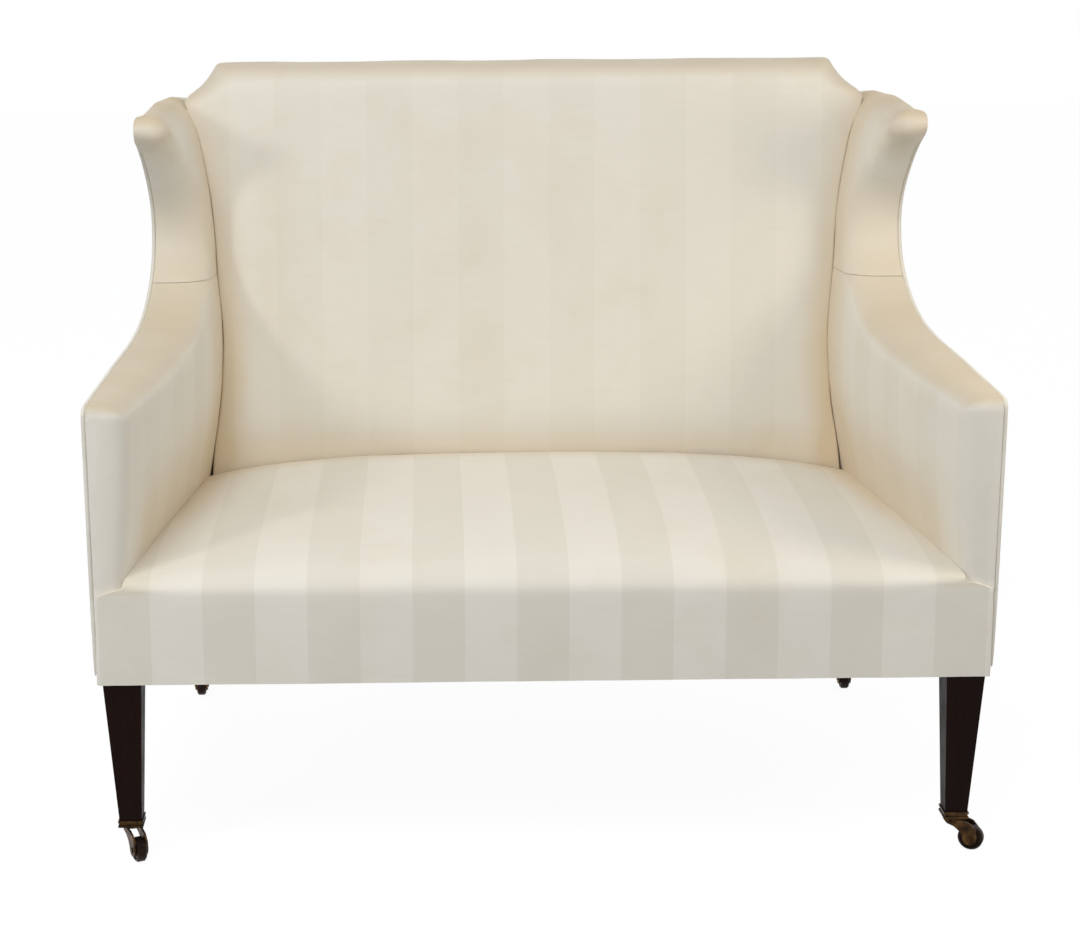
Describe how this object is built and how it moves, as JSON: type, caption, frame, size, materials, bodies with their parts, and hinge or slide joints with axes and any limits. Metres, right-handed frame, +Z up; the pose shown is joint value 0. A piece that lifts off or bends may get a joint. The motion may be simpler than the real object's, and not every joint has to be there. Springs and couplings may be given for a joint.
{
  "type": "high back settee",
  "caption": "Two-seat high back settee with padded arms and wings, tight striped covers, square tapered legs and swivel casters.",
  "frame": {"origin": "on the floor under the middle of the settee", "axes": "+X to the right seen from the front, -Y towards the sitter's front, +Z up"},
  "size_m": [1.2732, 0.7666, 1.0841],
  "materials": {
    "beech": "satin",
    "mahogany": "satin polish",
    "striped_fabric": "woven satin stripe",
    "piping": "woven cord",
    "webbing": "woven",
    "hessian": "coarse weave",
    "horsehair": "matted hair",
    "dust_cloth": "plain weave",
    "spring_steel": "oiled wire",
    "brass": "aged",
    "wheel_brass": "dark patina"
  },
  "bodies": {
    "settee": {"front_seat_rail": "beech", "back_seat_rail": "beech", "left_seat_rail": "beech", "right_seat_rail": "beech", "seat_brace": "beech", "corner_blocks": "beech", "front_leg_left": "mahogany", "front_leg_right": "mahogany", "back_post_left": "mahogany", "back_post_right": "mahogany", "crest_rail": "beech", "back_tacking_rail": "beech", "back_centre_stile": "beech", "arm_post_left": "beech", "arm_post_right": "beech", "arm_rail_left": "beech", "arm_rail_right": "beech", "arm_tacking_rail_left": "beech", "arm_tacking_rail_right": "beech", "wing_frame_left": "beech", "wing_frame_right": "beech", "seat_webbing": "webbing", "seat_springs": "spring_steel", "seat_hessian": "hessian", "seat_stuffing": "horsehair", "seat_cover": "striped_fabric", "dust_cover": "dust_cloth", "back_webbing": "webbing", "back_stuffing": "horsehair", "inside_back_cover": "striped_fabric", "outside_back_cover": "striped_fabric", "arm_stuffing_left": "horsehair", "arm_stuffing_right": "horsehair", "arm_cover_left": "striped_fabric", "arm_cover_right": "striped_fabric", "wing_stuffing_left": "horsehair", "wing_stuffing_right": "horsehair", "wing_cover_left": "striped_fabric", "wing_cover_right": "striped_fabric", "outside_arm_panel_left": "striped_fabric", "outside_arm_panel_right": "striped_fabric", "welt_left": "piping", "welt_right": "piping", "caster_cup_fl": "brass", "caster_cup_fr": "brass", "caster_cup_bl": "brass", "caster_cup_br": "brass"},
    "fork_front_left": {"caster_fork_fl": "brass", "caster_axle_fl": "brass"},
    "wheel_front_left": {"caster_wheel_fl": "wheel_brass"},
    "fork_front_right": {"caster_fork_fr": "brass", "caster_axle_fr": "brass"},
    "wheel_front_right": {"caster_wheel_fr": "wheel_brass"},
    "fork_back_left": {"caster_fork_bl": "brass", "caster_axle_bl": "brass"},
    "wheel_back_left": {"caster_wheel_bl": "wheel_brass"},
    "fork_back_right": {"caster_fork_br": "brass", "caster_axle_br": "brass"},
    "wheel_back_right": {"caster_wheel_br": "wheel_brass"}
  },
  "joints": [
    {"name": "front_left_swivel", "type": "hinge", "parent": "settee", "child": "fork_front_left", "pos_m": [-0.59141, -0.34174, 0.048], "axis": [0, 0, 1], "continuous": true},
    {"name": "front_left_wheel_spin", "type": "hinge", "parent": "fork_front_left", "child": "wheel_front_left", "pos_m": [-0.58001, -0.36511, 0.018], "axis": [0.8988, 0.4384, 0], "continuous": true},
    {"name": "front_right_swivel", "type": "hinge", "parent": "settee", "child": "fork_front_right", "pos_m": [0.59141, -0.34174, 0.048], "axis": [0, 0, 1], "continuous": true},
    {"name": "front_right_wheel_spin", "type": "hinge", "parent": "fork_front_right", "child": "wheel_front_right", "pos_m": [0.61516, -0.35232, 0.018], "axis": [0.4067, 0.9135, 0], "continuous": true},
    {"name": "back_left_swivel", "type": "hinge", "parent": "settee", "child": "fork_back_left", "pos_m": [-0.55544, 0.33926, 0.048], "axis": [0, 0, 1], "continuous": true},
    {"name": "back_left_wheel_spin", "type": "hinge", "parent": "fork_back_left", "child": "wheel_back_left", "pos_m": [-0.55544, 0.36526, 0.018], "axis": [-1, 0, 0], "continuous": true},
    {"name": "back_right_swivel", "type": "hinge", "parent": "settee", "child": "fork_back_right", "pos_m": [0.55544, 0.33926, 0.048], "axis": [0, 0, 1], "continuous": true},
    {"name": "back_right_wheel_spin", "type": "hinge", "parent": "fork_back_right", "child": "wheel_back_right", "pos_m": [0.55544, 0.36526, 0.018], "axis": [-1, 0, 0], "continuous": true}
  ]
}
